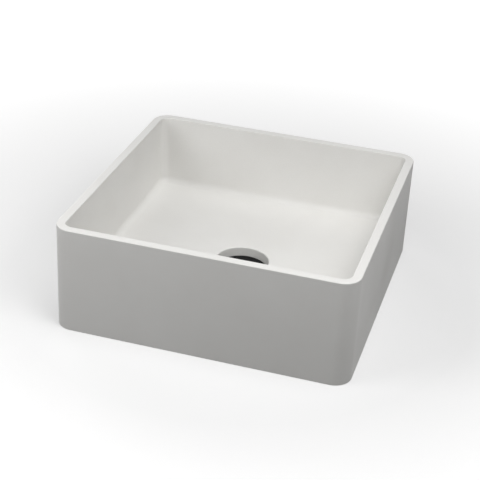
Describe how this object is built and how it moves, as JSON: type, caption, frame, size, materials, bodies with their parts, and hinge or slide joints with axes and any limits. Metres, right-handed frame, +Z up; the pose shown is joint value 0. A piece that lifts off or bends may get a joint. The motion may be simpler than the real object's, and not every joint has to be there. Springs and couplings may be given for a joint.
{
  "type": "countertop basin",
  "caption": "Square countertop basin with thin straight walls, a sloping floor, and a round push-to-close waste whose threaded tail passes through the worktop.",
  "frame": {"origin": "on the waste's axis, at the level of the worktop that the base stands on", "axes": "+Z up out of the bowl, -Y towards the user, +X to the right as the user faces the basin"},
  "size_m": [0.4, 0.4, 0.197],
  "materials": {
    "mineral_cast": "matte",
    "black_coating": "satin",
    "brass": "satin",
    "spring_steel": "satin",
    "rubber": "matte",
    "white_nylon": "satin",
    "acetal": "satin",
    "black_plastic": "matte"
  },
  "bodies": {
    "basin": {"basin": "mineral_cast", "waste_body": "black_coating", "flange_gasket": "rubber", "lower_seal": "rubber", "slip_washer": "white_nylon", "backnut": "brass", "cartridge_body": "brass", "cartridge_cap": "brass", "cartridge_locknut": "brass", "stem_oring": "rubber", "return_spring": "spring_steel"},
    "plug": {"index_ring": "acetal", "plunger": "brass", "plug_locknut": "brass", "plug_carrier": "black_plastic", "plug_seal": "rubber", "plug_cap": "black_coating"}
  },
  "joints": [
    {"name": "plug_slide", "type": "slide", "parent": "basin", "child": "plug", "axis": [0, 0, 1], "range_m": [-0.0015, 0.007], "deforming": ["return_spring", "plug_seal"]}
  ]
}
